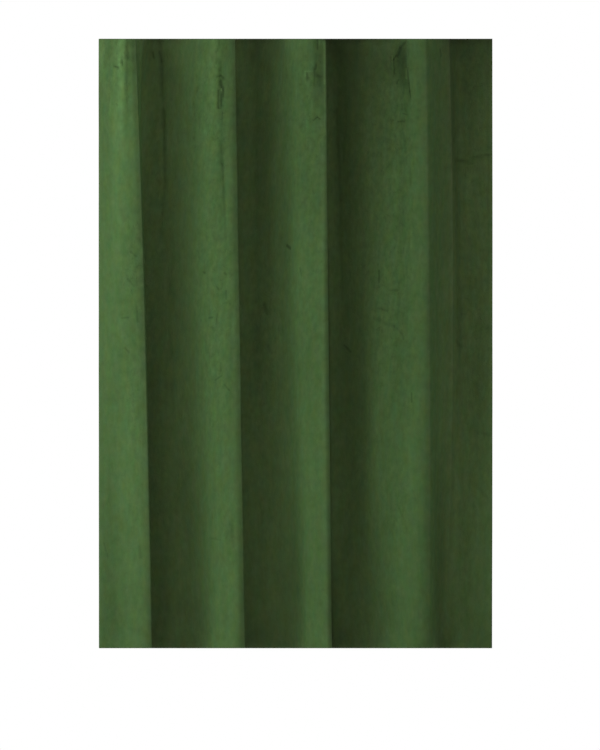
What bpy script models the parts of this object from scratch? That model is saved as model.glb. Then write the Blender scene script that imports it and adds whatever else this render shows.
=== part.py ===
"""A hanging velvet drape panel: one thin cloth in four deep, uneven folds.

Metres, +Z up.  The origin is the middle of the panel's top edge, on the
mid-plane of the folds.  The panel hangs from z = 0 down to z = -DROP, +X runs
to the right as the pile side is seen, and the pile side faces -Y.  The cloth's
edges are turned to the back, where each hem stands proud as a flat band.
"""
import bpy
import numpy as np

for old in list(bpy.data.objects):
    bpy.data.objects.remove(old, do_unlink=True)

# ---- driving sizes, metres -------------------------------------------------
DROP = 0.914            # top edge to bottom edge
FLAT_WIDTH = 1.040      # side hem to side hem, measured along the folds
CLOTH = 0.002           # pile and ground together
SIDE_HEM = 0.025        # width of the turned hem down each side
TOP_HEM = 0.025         # width of the turned hem along the top
BOTTOM_HEM = 0.050      # width of the turned hem along the bottom
HEM_RISE = 0.0022       # how far a hem's turned layers stand off the back
HEM_STEP = 0.0006       # half the run of the step at a hem's inner edge
PILE_COLOUR = (0.086, 0.171, 0.058, 1.0)
PILE_ROUGHNESS = 0.92

COLUMNS = 100           # strips of cloth between the side hems
ROWS = 15               # strips between the top hem and the bottom hem

# ---- the folds ---------------------------------------------------------------
# One row for each line that runs down the cloth, left to right, in mm.
# x is across the panel from its centre line, y is depth from the folds'
# mid-plane, minus towards the pile side.  top, mid and low are the heights at
# the top edge, halfway down and at the bottom edge.
#    line               x top    x mid    x low    y top   y mid   y low
FOLD_LINES = (
    ("left edge",        -294.0, -294.0, -294.0,   -6.5, -14.0, -20.0),
    ("ridge 1 face",     -280.5, -279.0, -274.5,  -27.5, -29.0, -27.0),
    ("ridge 1 front",    -264.0, -256.5, -249.0,  -44.0, -41.0, -38.0),
    ("ridge 1 shoulder", -246.5, -232.0, -222.5,  -44.0, -48.5, -48.0),
    ("ridge 1 lip",      -237.5, -224.0, -215.5,  -27.5, -39.5, -37.5),
    ("ridge 1 return",   -229.5, -234.0, -229.0,   -3.5,  -2.0,  -2.0),
    ("valley 1 tuck",    -222.0, -244.5, -235.5,   25.0,  37.0,  29.5),
    ("valley 1 floor",   -205.5, -223.5, -216.0,   41.5,  44.5,  46.0),
    ("valley 1 right",   -184.5, -186.0, -162.0,   32.5,  32.5,  34.0),
    ("ridge 2 flank",    -154.5, -153.0, -135.0,   -6.5,   5.5,   7.0),
    ("ridge 2 face",     -129.0, -125.5, -114.0,  -36.5, -27.5, -30.5),
    ("ridge 2 front",    -111.0, -102.0,  -93.0,  -45.5, -42.5, -45.5),
    ("ridge 2 shoulder",  -96.5,  -89.5,  -82.0,  -45.0, -45.5, -45.0),
    ("ridge 2 lip",       -92.0,  -83.5,  -76.5,  -34.5, -36.0, -33.5),
    ("ridge 2 return",    -97.5,  -93.0,  -87.0,   -3.5,  -2.0,   1.0),
    ("valley 2 tuck",    -100.5,  -97.5,  -88.5,   23.5,  25.0,  26.5),
    ("valley 2 floor",    -82.5,  -78.0,  -69.0,   43.0,  38.5,  40.0),
    ("valley 2 right",    -54.0,  -49.5,  -22.5,   40.0,  31.0,  29.5),
    ("ridge 3 flank",     -18.0,  -14.5,    6.0,    2.5,   7.0,   7.0),
    ("ridge 3 face",        1.5,    6.0,   21.0,  -29.0, -24.5, -26.0),
    ("ridge 3 front",      21.0,   28.5,   39.0,  -42.5, -41.0, -41.0),
    ("ridge 3 shoulder",   39.0,   44.5,   50.0,  -44.0, -46.5, -45.0),
    ("ridge 3 lip",        42.0,   46.5,   51.5,  -33.5, -38.0, -35.0),
    ("ridge 3 return",     34.5,   39.0,   45.0,   -2.0,  -5.0,  -2.0),
    ("valley 3 tuck",      31.5,   34.5,   43.5,   28.0,  23.5,  26.5),
    ("valley 3 floor",     54.0,   55.5,   63.0,   67.0,  44.5,  46.0),
    ("valley 3 right",     87.0,   85.5,  102.0,   49.0,  31.0,  32.5),
    ("ridge 4 flank",     129.0,  125.5,  133.5,   20.5,  -4.0,  -0.5),
    ("ridge 4 face",      157.5,  153.0,  156.0,    1.0, -24.5, -29.0),
    ("ridge 4 front",     177.0,  175.5,  175.5,  -29.0, -39.5, -44.0),
    ("ridge 4 shoulder",  195.0,  200.0,  200.0,  -35.0, -41.0, -42.5),
    ("right flank",       213.0,  215.5,  211.5,  -11.0, -14.0,  -5.0),
    ("ripple",            228.5,  235.0,  225.0,    8.5,  11.0,  18.5),
    ("ripple return",     231.0,  244.0,  235.0,   28.0,  28.0,  17.0),
    ("right valley",      246.0,  252.0,  255.0,   53.5,  35.5,   8.5),
    ("right rise",        270.0,  273.0,  274.5,   50.5,  28.0,  -2.0),
    ("right edge",        295.5,  295.5,  295.5,   40.0,  16.0,  -8.0),
)
LINES = 0.001 * np.array([row[1:] for row in FOLD_LINES])


def spline(knots, points, where):
    """A natural cubic spline through points at knots, read at where."""
    n, h = len(knots), np.diff(knots)
    a, r = np.zeros((n, n)), np.zeros(points.shape)
    a[0, 0] = a[-1, -1] = 1.0
    for i in range(1, n - 1):
        a[i, i - 1], a[i, i], a[i, i + 1] = h[i - 1], 2 * (h[i - 1] + h[i]), h[i]
        r[i] = 6 * ((points[i + 1] - points[i]) / h[i] - (points[i] - points[i - 1]) / h[i - 1])
    m = np.linalg.solve(a, r)
    i = np.clip(np.searchsorted(knots, where, side="right") - 1, 0, n - 2)
    w = h[i][:, None]
    p, q = (knots[i + 1] - where)[:, None] / w, (where - knots[i])[:, None] / w
    return p * points[i] + q * points[i + 1] + ((p**3 - p) * m[i] + (q**3 - q) * m[i + 1]) * w * w / 6


def fold_section(down, depth=1.0, fine=3000):
    """The fold line across the panel at down, 0 at the top edge and 1 at the
    bottom: a fine run of (x, y), and the length of cloth up to each point."""
    blend = np.array([(1 - down) * (1 - 2 * down), 4 * down * (1 - down), down * (2 * down - 1)])
    line = np.stack([LINES[:, :3] @ blend, (LINES[:, 3:] @ blend) * depth], axis=1)
    steps = np.sqrt(np.hypot(*np.diff(line, axis=0).T))
    knots = np.concatenate([[0.0], np.cumsum(steps)])
    run = spline(knots, line, np.linspace(0, knots[-1], fine))
    return run, np.concatenate([[0.0], np.cumsum(np.hypot(*np.diff(run, axis=0).T))])


def fold_row(down, cloth):
    """Points (x, y) at the distances cloth along the cloth, with the folds
    deepened until the row takes up exactly FLAT_WIDTH."""
    low, high = 0.6, 1.5
    for _ in range(30):
        depth = 0.5 * (low + high)
        run, length = fold_section(down, depth)
        low, high = (depth, high) if length[-1] < FLAT_WIDTH else (low, depth)
    length *= FLAT_WIDTH / length[-1]
    return np.stack([np.interp(cloth, length, run[:, k]) for k in (0, 1)], axis=1)


def stations(total, first_hem, last_hem, strips):
    """Distances from edge to edge: a pair of close stations at each hem's
    inner edge, and even strips between the hems."""
    inner = np.linspace(first_hem + HEM_STEP, total - last_hem - HEM_STEP, strips + 1)
    head = np.linspace(0, first_hem - HEM_STEP, max(2, round(first_hem * strips / total) + 1))
    tail = np.linspace(total - last_hem + HEM_STEP, total, max(2, round(last_hem * strips / total) + 1))
    return np.concatenate([head, inner, tail])


def drape_mesh(name):
    """The closed sheet: the pile face, the back face with its hem bands, and
    the narrow rim between them."""
    across = stations(FLAT_WIDTH, SIDE_HEM, SIDE_HEM, COLUMNS)
    fall = stations(DROP, TOP_HEM, BOTTOM_HEM, ROWS)
    nu, nv = len(across), len(fall)
    middle = np.zeros((nv, nu, 3))
    for j, z in enumerate(fall):
        middle[j, :, :2] = fold_row(z / DROP, across)
        middle[j, :, 2] = -z
    along_u = np.gradient(middle, across, axis=1)
    along_v = np.gradient(middle, fall, axis=0)
    out = np.cross(along_v, along_u)
    out /= np.linalg.norm(out, axis=2, keepdims=True)
    out[:, :, 2] = 0.0                         # the edges stay level
    out /= np.linalg.norm(out, axis=2, keepdims=True)
    if out[nv // 2, :, 1].mean() > 0:          # towards the pile side
        out = -out
    in_hem = ((across[None, :] < SIDE_HEM) | (across[None, :] > FLAT_WIDTH - SIDE_HEM)
              | (fall[:, None] < TOP_HEM) | (fall[:, None] > DROP - BOTTOM_HEM))
    front = middle + out * CLOTH / 2
    back = middle - out * (CLOTH / 2 + HEM_RISE * in_hem[:, :, None])
    verts = np.concatenate([front.reshape(-1, 3), back.reshape(-1, 3)])
    half = nu * nv
    faces = []
    for j in range(nv - 1):
        for i in range(nu - 1):
            a, b, c, d = j * nu + i, j * nu + i + 1, (j + 1) * nu + i + 1, (j + 1) * nu + i
            faces.append((a, d, c, b))
            faces.append((half + a, half + b, half + c, half + d))
    rim = [i for i in range(nu)] + [j * nu + nu - 1 for j in range(1, nv)]
    rim += [(nv - 1) * nu + i for i in range(nu - 2, -1, -1)] + [j * nu for j in range(nv - 2, 0, -1)]
    for a, b in zip(rim, rim[1:] + rim[:1]):
        faces.append((a, b, half + b, half + a))
    mesh = bpy.data.meshes.new(name)
    mesh.from_pydata([tuple(v) for v in verts], [], faces)
    mesh.validate()
    mesh.shade_smooth()
    mesh.set_sharp_from_angle(angle=0.7)
    return mesh


def velvet(name):
    material = bpy.data.materials.new(name)
    material.use_nodes = True
    shader = material.node_tree.nodes["Principled BSDF"]
    shader.inputs["Base Color"].default_value = PILE_COLOUR
    shader.inputs["Roughness"].default_value = PILE_ROUGHNESS
    shader.inputs["Metallic"].default_value = 0.0
    shader.inputs["Sheen Weight"].default_value = 0.3
    return material


drape = bpy.data.objects.new("drape_panel", drape_mesh("drape_panel"))
drape.data.materials.append(velvet("green_velvet"))
bpy.context.scene.collection.objects.link(drape)
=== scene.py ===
"""The looks of the hanging velvet drape panel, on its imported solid."""
import math
import bpy
import numpy as np
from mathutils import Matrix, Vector, noise


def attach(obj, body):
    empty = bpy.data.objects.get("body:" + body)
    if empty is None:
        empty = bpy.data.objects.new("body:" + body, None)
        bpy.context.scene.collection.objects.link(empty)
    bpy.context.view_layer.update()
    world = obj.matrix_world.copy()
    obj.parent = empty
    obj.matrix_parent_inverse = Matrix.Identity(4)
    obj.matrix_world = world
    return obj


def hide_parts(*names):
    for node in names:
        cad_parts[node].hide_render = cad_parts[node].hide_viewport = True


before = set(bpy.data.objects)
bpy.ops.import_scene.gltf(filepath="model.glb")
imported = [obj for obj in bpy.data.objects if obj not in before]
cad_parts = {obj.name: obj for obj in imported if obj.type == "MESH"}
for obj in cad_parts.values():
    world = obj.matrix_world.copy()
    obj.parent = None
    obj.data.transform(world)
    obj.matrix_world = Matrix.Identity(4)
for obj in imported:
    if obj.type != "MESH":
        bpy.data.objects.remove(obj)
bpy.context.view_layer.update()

# ---- sizes shared with the solid, metres -----------------------------------
DROP = 0.914
FLAT_WIDTH = 1.040
CLOTH = 0.002
SIDE_HEM = 0.025
TOP_HEM = 0.025
BOTTOM_HEM = 0.050
HEM_RISE = 0.0022
RIM = 0.0012            # how far the turned edges round out
HEM_STEP = 0.0004       # half the width of the step at a hem's inner edge
PIXEL = DROP / 609.0    # metres for each picture point, on the folds' mid-plane
PICTURE_X, PICTURE_Y = 295.0, 39.0      # the picture point of the top edge's middle
# columns of the mesh from the left hem to the first corner, and on from corner to corner
COLUMNS = ((50, 100, 94, 112, 24, 32))
ROWS, HEM_COLUMNS, TOP_ROWS = ((150, 6, 10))

#    line               x top    x mid    x low    y top   y mid   y low      (mm)
FOLD_LINES = (
    ("left edge",        -294.0, -294.0, -294.0,   -6.5, -14.0, -20.0),
    ("ridge 1 face",     -280.5, -279.0, -274.5,  -27.5, -29.0, -27.0),
    ("ridge 1 front",    -264.0, -256.5, -249.0,  -44.0, -41.0, -38.0),
    ("ridge 1 shoulder", -246.5, -232.0, -222.5,  -44.0, -48.5, -48.0),
    ("ridge 1 lip",      -237.5, -224.0, -215.5,  -27.5, -39.5, -37.5),
    ("ridge 1 return",   -229.5, -234.0, -229.0,   -3.5,  -2.0,  -2.0),
    ("valley 1 tuck",    -222.0, -244.5, -235.5,   25.0,  37.0,  29.5),
    ("valley 1 floor",   -205.5, -223.5, -216.0,   41.5,  44.5,  46.0),
    ("valley 1 right",   -184.5, -186.0, -162.0,   32.5,  32.5,  34.0),
    ("ridge 2 flank",    -154.5, -153.0, -135.0,   -6.5,   5.5,   7.0),
    ("ridge 2 face",     -129.0, -125.5, -114.0,  -36.5, -27.5, -30.5),
    ("ridge 2 front",    -111.0, -102.0,  -93.0,  -45.5, -42.5, -45.5),
    ("ridge 2 shoulder",  -96.5,  -89.5,  -82.0,  -45.0, -45.5, -45.0),
    ("ridge 2 lip",       -92.0,  -83.5,  -76.5,  -34.5, -36.0, -33.5),
    ("ridge 2 return",    -97.5,  -93.0,  -87.0,   -3.5,  -2.0,   1.0),
    ("valley 2 tuck",    -100.5,  -97.5,  -88.5,   23.5,  25.0,  26.5),
    ("valley 2 floor",    -82.5,  -78.0,  -69.0,   43.0,  38.5,  40.0),
    ("valley 2 right",    -54.0,  -49.5,  -22.5,   40.0,  31.0,  29.5),
    ("ridge 3 flank",     -18.0,  -14.5,    6.0,    2.5,   7.0,   7.0),
    ("ridge 3 face",        1.5,    6.0,   21.0,  -29.0, -24.5, -26.0),
    ("ridge 3 front",      21.0,   28.5,   39.0,  -42.5, -41.0, -41.0),
    ("ridge 3 shoulder",   39.0,   44.5,   50.0,  -44.0, -46.5, -45.0),
    ("ridge 3 lip",        42.0,   46.5,   51.5,  -33.5, -38.0, -35.0),
    ("ridge 3 return",     34.5,   39.0,   45.0,   -2.0,  -5.0,  -2.0),
    ("valley 3 tuck",      31.5,   34.5,   43.5,   28.0,  23.5,  26.5),
    ("valley 3 floor",     54.0,   55.5,   63.0,   67.0,  44.5,  46.0),
    ("valley 3 right",     87.0,   85.5,  102.0,   49.0,  31.0,  32.5),
    ("ridge 4 flank",     129.0,  125.5,  133.5,   20.5,  -4.0,  -0.5),
    ("ridge 4 face",      157.5,  153.0,  156.0,    1.0, -24.5, -29.0),
    ("ridge 4 front",     177.0,  175.5,  175.5,  -29.0, -39.5, -44.0),
    ("ridge 4 shoulder",  195.0,  200.0,  200.0,  -35.0, -41.0, -42.5),
    ("right flank",       213.0,  215.5,  211.5,  -11.0, -14.0,  -5.0),
    ("ripple",            228.5,  235.0,  225.0,    8.5,  11.0,  18.5),
    ("ripple return",     231.0,  244.0,  235.0,   28.0,  28.0,  17.0),
    ("right valley",      246.0,  252.0,  255.0,   53.5,  35.5,   8.5),
    ("right rise",        270.0,  273.0,  274.5,   50.5,  28.0,  -2.0),
    ("right edge",        295.5,  295.5,  295.5,   40.0,  16.0,  -8.0),
)
LINES = 0.001 * np.array([row[1:] for row in FOLD_LINES])


# ---- the fold surface, as the solid has it ----------------------------------
def spline(knots, points, where):
    n, h = len(knots), np.diff(knots)
    a, r = np.zeros((n, n)), np.zeros(points.shape)
    a[0, 0] = a[-1, -1] = 1.0
    for i in range(1, n - 1):
        a[i, i - 1], a[i, i], a[i, i + 1] = h[i - 1], 2 * (h[i - 1] + h[i]), h[i]
        r[i] = 6 * ((points[i + 1] - points[i]) / h[i] - (points[i] - points[i - 1]) / h[i - 1])
    m = np.linalg.solve(a, r)
    i = np.clip(np.searchsorted(knots, where, side="right") - 1, 0, n - 2)
    w = h[i][:, None]
    p, q = (knots[i + 1] - where)[:, None] / w, (where - knots[i])[:, None] / w
    return p * points[i] + q * points[i + 1] + ((p**3 - p) * m[i] + (q**3 - q) * m[i + 1]) * w * w / 6


def fold_section(down, depth=1.0, fine=3000):
    """The fold line across the panel at down: points (x, y), the length of cloth
    up to each, and the number of the fold line that each is at or past."""
    blend = np.array([(1 - down) * (1 - 2 * down), 4 * down * (1 - down), down * (2 * down - 1)])
    line = np.stack([LINES[:, :3] @ blend, (LINES[:, 3:] @ blend) * depth], axis=1)
    steps = np.sqrt(np.hypot(*np.diff(line, axis=0).T))
    knots = np.concatenate([[0.0], np.cumsum(steps)])
    at = np.linspace(0, knots[-1], fine)
    run = spline(knots, line, at)
    length = np.concatenate([[0.0], np.cumsum(np.hypot(*np.diff(run, axis=0).T))])
    return run, length, np.interp(at, knots, np.arange(len(knots)))


def fold_row(down):
    """The section at down, with its folds deepened to take up FLAT_WIDTH."""
    low, high = 0.6, 1.5
    for _ in range(22):
        depth = 0.5 * (low + high)
        length = fold_section(down, depth, 1200)[1]
        low, high = (depth, high) if length[-1] < FLAT_WIDTH else (low, depth)
    run, length, number = fold_section(down, depth)
    return run, length * (FLAT_WIDTH / length[-1]), number


def even_steps(start, end, count):
    return np.linspace(start, end, count + 1)


def columns(run, length, lines):
    """Distances along the cloth for one row's columns: even in the hems, one on
    each crisp corner, and closer together at the corners, on the faces that show
    and round the tight bends between."""
    turn = np.gradient(run, length, axis=0)
    facing = np.clip(turn[:, 0], 0, 1)
    bend = np.hypot(*np.gradient(turn, length, axis=0).T)
    corners = np.interp([row[0] for row in CORNERS], lines, length)
    want = 0.35 + 0.60 * facing + 0.35 * np.clip(bend * 0.010, 0, 1.5)
    want += 1.5 * np.exp(-0.5 * ((length[:, None] - corners) / 0.0035) ** 2).sum(axis=1)
    for line in CRUMPLED_LINES:
        want += 0.7 * np.exp(-0.5 * ((lines - line) / 0.5) ** 2)
    want = np.convolve(np.pad(want, 12, mode="edge"), np.ones(25) / 25, mode="valid")
    share = np.concatenate([[0.0], np.cumsum(0.5 * (want[1:] + want[:-1]) * np.diff(length))])
    ends = (SIDE_HEM + HEM_STEP, FLAT_WIDTH - SIDE_HEM - HEM_STEP)
    stops = np.interp(np.concatenate([ends[:1], corners, ends[1:]]), length, share)
    inner = np.concatenate([even_steps(a, b, count)[:-1] for a, b, count in zip(stops, stops[1:], COLUMNS)])
    inner = np.interp(np.append(inner, stops[-1]), share, length)
    edge = even_steps(RIM, SIDE_HEM - HEM_STEP, HEM_COLUMNS)
    left = np.append(edge, SIDE_HEM)
    return np.concatenate([left, inner, FLAT_WIDTH - left[::-1]])


def rows():
    """Distances below the top edge, closest together in the crumpled upper part."""
    z = np.linspace(TOP_HEM + HEM_STEP, DROP - BOTTOM_HEM - HEM_STEP, 2000)
    want = 0.42 + 1.0 / (1 + np.exp((z - 0.235) / 0.03)) + 0.35 / (1 + np.exp((z - 0.52) / 0.05))
    share = np.concatenate([[0.0], np.cumsum(0.5 * (want[1:] + want[:-1]))])
    inner = np.interp(even_steps(0, share[-1], ROWS), share, z)
    top = even_steps(RIM, TOP_HEM - HEM_STEP, TOP_ROWS)
    low = even_steps(DROP - BOTTOM_HEM + HEM_STEP, DROP - RIM, HEM_COLUMNS)
    return np.concatenate([top, [TOP_HEM], inner, [DROP - BOTTOM_HEM], low])


# ---- small creases and dents, with painted light and shade --------------------
# On the fold lines from first to last, along paths in picture points with a
# share of the mark's height at each: half width on the left and on the right of
# the path and height in mm (below zero for a groove), and light, how much painted
# light (below zero, painted shade) lies on the pile there. A step is narrow on one side only.
#    first, last, left, right, height, light, path
MARKS = (
    # ridge 1: a crumpled streak with a notch in it, and a hollow on each side
    (0, 5, 4.2, 3.4, 1.7, 0.10, ((124.2, 34, 1.0), (124, 57, 1.2), (123.5, 66, 1.0), (123.3, 95, 0.8), (122.5, 112, 0.6), (123.5, 135, 0.4))),
    (0, 5, 2.0, 3.0, -0.6, -0.03, ((128, 34, 1.0), (128.5, 100, 1.0), (129.5, 130, 0.4))),
    (0, 5, 6.0, 5.0, -1.5, -0.03, ((112.5, 34, 1.0), (112.5, 58, 1.0), (111, 80, 0.4))),
    (0, 5, 1.3, 1.3, -1.3, -0.15, ((114, 66, 0.5), (116, 67, 1.0), (119, 68, 0.9))),
    (0, 5, 1.3, 1.3, -1.0, -0.13, ((122.3, 56, 0.5), (123, 63, 1.0), (123.2, 66, 0.6))),
    (0, 5, 1.8, 1.8, 0.9, 0.14, ((120.3, 60, 0.8), (120, 65, 1.0))),
    (0, 5, 1.3, 1.3, -0.8, -0.09, ((117.5, 37, 1.0), (116.5, 44, 0.7))),
    (0, 5, 1.5, 1.5, -0.8, -0.05, ((127.5, 47, 0.6), (129.5, 58, 1.0))),
    (0, 5, 2.0, 2.0, -0.5, -0.06, ((122, 133, 1.0), (126.5, 127, 1.0))),
    (0, 5, 1.0, 1.0, 0.4, 0.07, ((112, 97, 0.7), (110.8, 114, 1.0))),
    (0, 5, 3.5, 3.5, 0.7, 0.02, ((116, 118, 0.4), (117, 150, 1.0), (119, 200, 0.8), (121, 260, 0.4))),
    # valley 1: one long crease
    (6, 9, 2.8, 1.8, -1.2, -0.09, ((161, 36, 1.0), (160.5, 50, 0.9), (162, 62, 0.9), (162.2, 95, 0.8), (162.5, 106, 0.6), (163.6, 112, 1.3), (164, 124, 1.2), (165, 160, 0.7), (165.2, 182, 0.9), (162, 215, 0.5), (159, 245, 0.2))),
    (6, 9, 1.2, 1.2, -0.8, -0.13, ((152.8, 52, 0.8), (153.8, 58.5, 1.0))),
    (6, 9, 3.0, 3.0, -0.6, -0.03, ((168.5, 268, 0.5), (169, 286, 1.0), (167.5, 315, 0.4), (169, 346, 1.0), (170, 352, 0.5))),
    # ridge 2: a step near the corner, then a chain of crumples and a pocket
    (8, 14, 0.9, 4.5, -1.3, -0.05, ((219.6, 34, 1.0), (219.5, 48, 1.0), (217, 52, 1.0), (216.5, 60, 1.0), (219.8, 62, 1.0), (220.2, 73, 1.0), (219.5, 88, 0.8), (218.4, 108, 0.6))),
    (8, 14, 1.5, 1.5, -1.0, -0.12, ((217.5, 77, 1.0), (220.5, 75.5, 1.0), (223.5, 78, 0.8))),
    (8, 14, 1.6, 1.8, -1.2, -0.11, ((221, 80, 1.0), (221.8, 88, 1.1))),
    (8, 14, 1.0, 1.4, -0.8, -0.09, ((218.6, 90, 0.8), (218.2, 108, 1.0))),
    (8, 14, 1.2, 0.8, -0.9, -0.11, ((223.8, 87, 1.0), (223.8, 97, 0.8))),
    (8, 14, 1.0, 1.0, -0.9, -0.09, ((221.8, 95, 0.9), (221.6, 107, 1.0))),
    (8, 14, 4.0, 4.0, -0.7, -0.03, ((219, 110, 1.0), (220, 122, 0.6))),
    (8, 14, 1.3, 1.3, -0.6, -0.08, ((215, 110, 0.8), (215.5, 114, 0.8), (213.3, 131, 0.4), (213.3, 139, 0.9))),
    (8, 14, 2.0, 2.0, -1.0, -0.10, ((222.4, 146, 0.8), (222.4, 156, 1.0), (222.6, 165, 0.7))),
    (8, 14, 1.3, 1.3, -0.9, -0.09, ((223.2, 164, 1.0), (224.3, 190, 1.0), (225.5, 220, 0.8), (227, 248, 0.5))),
    (8, 14, 1.3, 1.3, -0.6, -0.08, ((198, 87, 0.8), (197.8, 92, 1.0))),
    (8, 14, 1.3, 1.3, -0.6, -0.08, ((194, 103, 1.0), (194, 108, 1.0))),
    (8, 14, 1.6, 1.6, -0.5, -0.06, ((194.8, 132, 1.0), (194.9, 140, 1.0))),
    # ridge 3: a long dent beside the corner, whose edge stands up a little with a painted highlight
    (17, 23, 2.2, 4.0, -1.3, -0.03, ((316.5, 34, 1.0), (316.8, 60, 1.0), (316, 68, 1.2), (315, 90, 0.7), (316, 112, 0.4), (318, 128, 0.1))),
    (17, 23, 1.1, 1.1, -0.8, -0.05, ((317.8, 36, 1.0), (317.6, 49, 0.9))),
    (17, 23, 1.2, 1.2, -0.8, -0.05, ((316.6, 63.5, 0.8), (315.6, 69, 1.0))),
    (17, 23, 2.2, 3.0, -0.8, -0.07, ((317, 75, 1.0), (320, 77, 0.8))),
    (17, 23, 1.1, 0.8, 0.7, 0.12, ((322.7, 42, 1.0), (322.8, 58, 1.2), (323.1, 84, 0.8), (323.5, 135, 0.5), (324.2, 240, 0.2))),
    (17, 23, 0.9, 0.9, 0.5, 0.07, ((305.6, 76, 0.7), (305.6, 71.4, 1.0), (313, 71.4, 0.8))),
    (17, 23, 1.3, 1.3, -0.7, -0.06, ((307, 74, 0.8), (309.5, 79, 1.0))),
    (17, 23, 1.0, 1.0, -0.7, -0.09, ((313.5, 120.5, 0.7), (317.6, 117.2, 1.0), (320.3, 119.5, 0.8))),
    # ridge 4: a turned-down ear of cloth, whose face falls away to the right
    (26, 31, 1.5, 7.0, 2.0, 0.0, ((405.5, 36, 0.3), (400.5, 47.6, 0.8), (396, 56, 1.0), (393.8, 60, 1.0), (395, 74, 0.8), (398, 83, 0.3))),
    (26, 31, 0.7, 8.0, 0.3, 0.05, ((407.4, 38, 1.0), (407.4, 64, 1.0), (409, 74, 1.0), (410.5, 92, 0.8), (412, 110, 0.3))),
    (26, 31, 1.2, 3.2, -1.1, -0.06, ((406, 41, 0.7), (401, 48, 1.1), (397.5, 55, 1.1), (394.5, 60, 0.7))),
    (26, 31, 0.8, 1.6, -0.7, -0.09, ((394.4, 60, 1.0), (395.4, 74, 0.9))),
    (26, 31, 3.5, 0.8, -1.6, -0.03, ((406.3, 38, 1.0), (406.3, 64, 1.0), (408, 74, 1.0), (409.5, 92, 1.0), (410.7, 99, 0.5))),
    (26, 31, 0.8, 0.8, -0.8, -0.06, ((408, 71, 0.6), (409.3, 86, 1.0), (410.7, 98, 0.9))),
    (26, 31, 0.7, 0.7, 0.4, 0.08, ((405.7, 69, 0.7), (406.2, 78, 1.0))),
    (26, 31, 1.0, 1.0, -0.7, -0.05, ((399, 79.5, 0.8), (397.5, 83.8, 1.0))),
    (26, 31, 1.6, 1.6, -0.7, -0.06, ((400, 110.5, 0.8), (406, 110, 1.0), (406.5, 115, 0.6))),
    (26, 31, 1.5, 1.5, -0.7, -0.06, ((398, 122, 0.8), (406, 121.4, 1.0))),
    (26, 31, 1.5, 1.5, -0.6, -0.05, ((387, 139, 1.0), (391, 140.5, 0.6))),
    (26, 31, 1.3, 1.3, -0.6, -0.05, ((406, 142, 1.0), (406, 153, 0.8))),
    (26, 31, 1.3, 1.3, -0.7, -0.07, ((410.8, 166, 0.7), (411, 184, 1.0))),
    (26, 31, 2.2, 2.2, -0.5, -0.05, ((389, 164, 1.0), (392, 166, 0.8))),
    # painted shadow lines just past the right edges of ridges 2 and 3, and a painted light streak low past ridge 2
    (20, 25.5, 1.0, 1.5, 0.0, -0.22, ((327.6, 250, 0.5), (327.9, 300, 0.7), (328.3, 350, 1.0), (328.7, 400, 0.9), (329.3, 450, 0.8), (330.2, 500, 0.6), (331, 550, 0.4), (331.4, 600, 0.7), (331.6, 640, 0.9))),
    (11, 16.5, 1.0, 1.3, 0.0, -0.10, ((239.4, 330, 0.3), (240.4, 400, 0.9), (240.9, 440, 1.0), (241.3, 480, 1.0), (243, 520, 0.3))),
    (11, 16.5, 1.0, 1.0, 0.0, 0.12, ((244.6, 610, 0.4), (245.4, 640, 1.0))),
    # right valley
    (33, 37, 1.8, 1.8, -1.3, -0.14, ((453.5, 159.5, 0.5), (458, 160.7, 0.8), (463, 161.5, 1.0), (467.5, 162, 0.8))),
    (33, 37, 1.6, 1.6, -1.3, -0.13, ((471, 158.3, 0.6), (478, 156.5, 1.0), (484, 155.4, 1.0), (488, 155.1, 0.5))),
    (33, 37, 1.4, 1.4, 0.0, -0.12, ((485, 155.3, 0.0), (488, 155.1, 0.6), (491.5, 155, 1.0))),
    (33, 37, 1.2, 1.5, -0.8, -0.09, ((453.6, 203, 0.6), (453.8, 214, 1.0), (454.8, 224, 1.0), (455.2, 240, 0.6))),
    (33, 37, 4.0, 4.0, -0.5, -0.05, ((463, 82, 1.0), (464, 90, 0.6))),
)


def marks(x, z, number):
    """How far each point of the pile face stands proud, in metres, and how much
    painted light (below zero, painted shade) lies on it."""
    height, light = np.zeros(x.shape), np.zeros(x.shape)
    for first, last, left, right, rise, shade, path in MARKS:
        near = (number > first) & (number < last)
        pts = [((px - PICTURE_X) * PIXEL, (PICTURE_Y - py) * PIXEL, share) for px, py, share in path]
        best = np.zeros(x.shape)
        for (ax, az, a), (bx, bz, b) in zip(pts, pts[1:]):
            wx, wz = bx - ax, bz - az
            t = np.clip(((x - ax) * wx + (z - az) * wz) / (wx * wx + wz * wz), 0, 1)
            away = (x - ax - t * wx) ** 2 + (z - az - t * wz) ** 2
            half = np.where(wx * (z - az) - wz * (x - ax) < 0, left, right)
            best = np.maximum(best, (a + (b - a) * t) * np.exp(-0.5 * away / (half * 0.001) ** 2))
        height += near * best * rise * 0.001
        light += near * best * shade
    return height, light


# The right side of each ridge turns under in a crisp corner: the fold line where
# it turns, how far along the cloth it reaches each way, how far it stands out at
# the top, middle and low, in mm, and how much painted shade lies just past it.
CORNERS = (
    (3.45, 3.8, (2.0, 2.7, 2.6), 0.0),
    (12.50, 4.0, (2.8, 2.5, 2.1), 0.0),
    (21.50, 3.5, (3.4, 3.5, 3.1), 0.35),
    (30.00, 6.0, (2.4, 2.3, 0.8), 0.0),
    (32.00, 5.0, (1.8, 1.2, 0.0), 0.0),
)
CORNER_ROUND = 0.0007   # how round the tip of a corner is
CRUMPLED_LINES = (11.2, 20.4, 28.5)     # the fold lines that the crumples beside the corners lie on
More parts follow.
